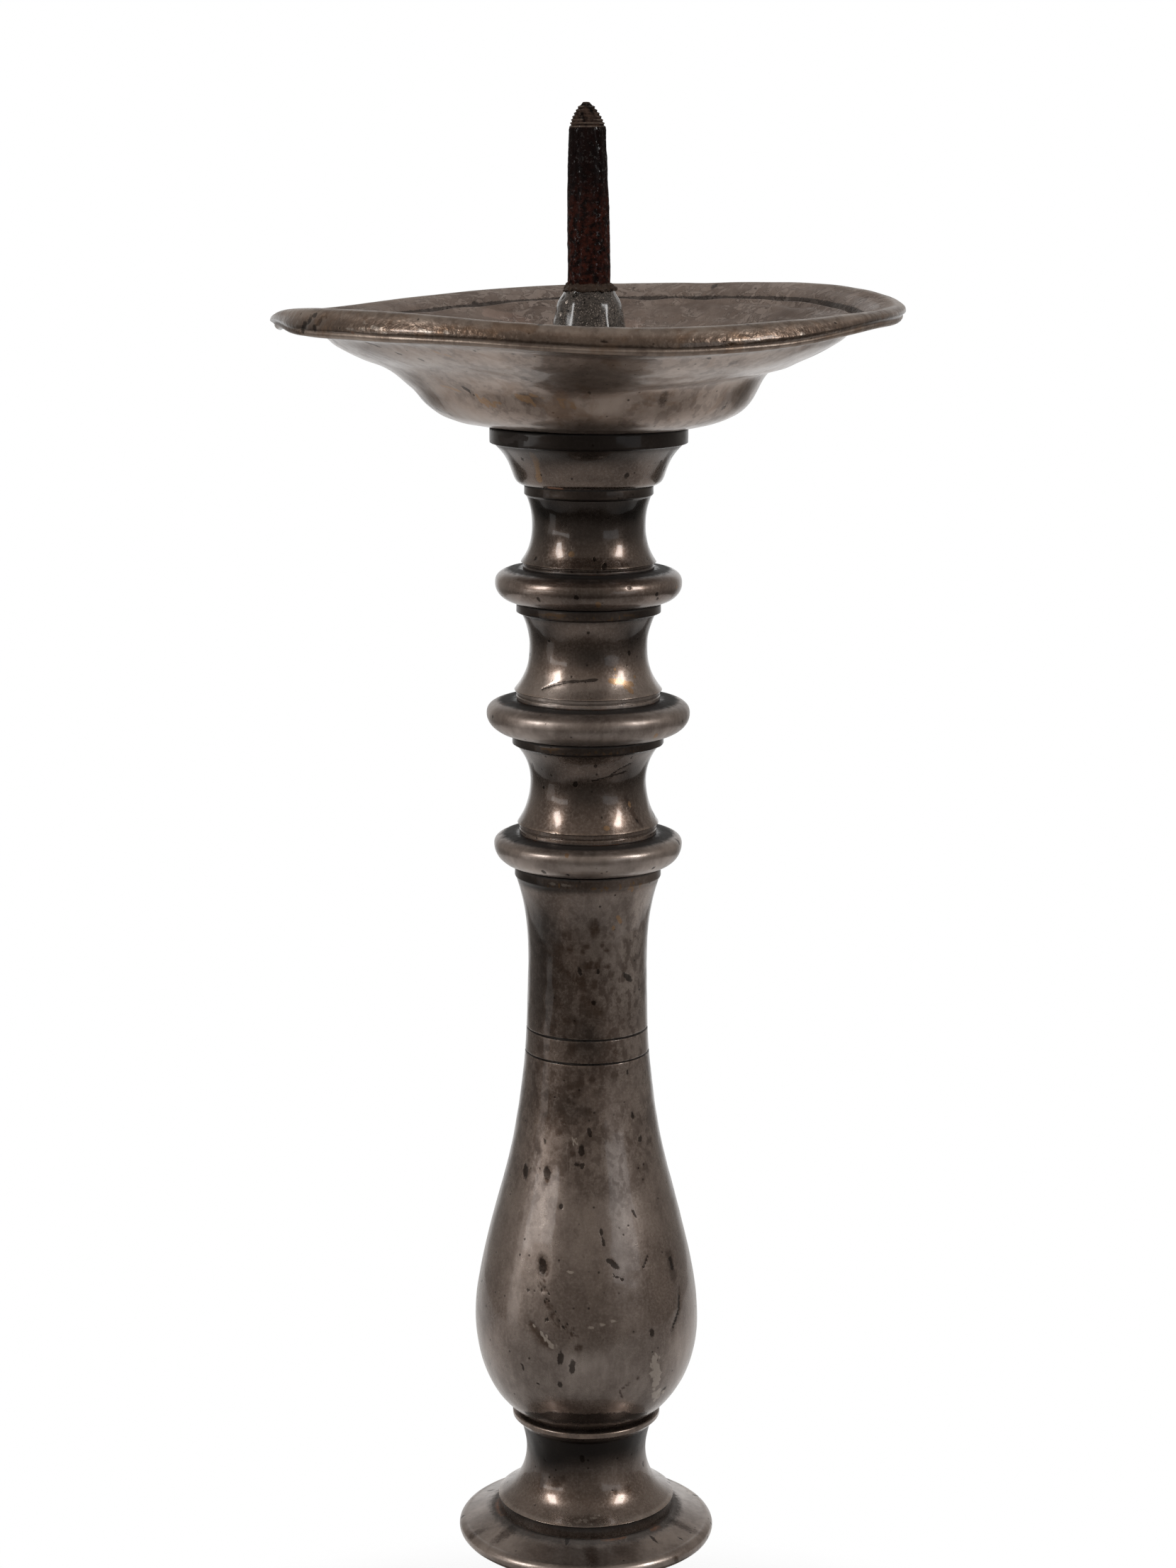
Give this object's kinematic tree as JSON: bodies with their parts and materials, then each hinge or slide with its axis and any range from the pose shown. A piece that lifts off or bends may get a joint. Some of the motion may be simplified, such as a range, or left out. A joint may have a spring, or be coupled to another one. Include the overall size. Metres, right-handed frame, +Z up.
{
  "type": "pricket candlestick",
  "caption": "Pricket candlestick: turned baluster stem with ring-shaped knops on a hollow spreading foot, carrying a dished drip pan and an iron candle spike.",
  "frame": {"origin": "centre of the ring that the foot stands on, on the ground plane", "axes": "+Z up along the stem, towards the spike; +X to the right and +Y away from the viewer in the picture"},
  "size_m": [0.195, 0.195, 0.51],
  "materials": {
    "stem_metal": "dark brown patinated copper alloy, satin, with rubbed spots",
    "pan_metal": "grey-brown patinated copper alloy, satin outside, matte and dirty inside",
    "collar_metal": "near-black glossy patina with dirt and wax",
    "spike_iron": "dark forged iron with brown rust",
    "fitting_iron": "dark rusted iron"
  },
  "bodies": {
    "root": {"base_bell": "stem_metal", "base_flange": "stem_metal", "trumpet_neck": "stem_metal", "baluster": "stem_metal", "lower_knop": "stem_metal", "lower_drum": "stem_metal", "middle_knop": "stem_metal", "middle_drum": "stem_metal", "upper_knop": "stem_metal", "upper_drum": "stem_metal", "capital": "stem_metal", "drip_pan": "pan_metal", "collar": "collar_metal", "pricket": "spike_iron", "washer": "fitting_iron", "nut": "fitting_iron"}
  },
  "joints": []
}
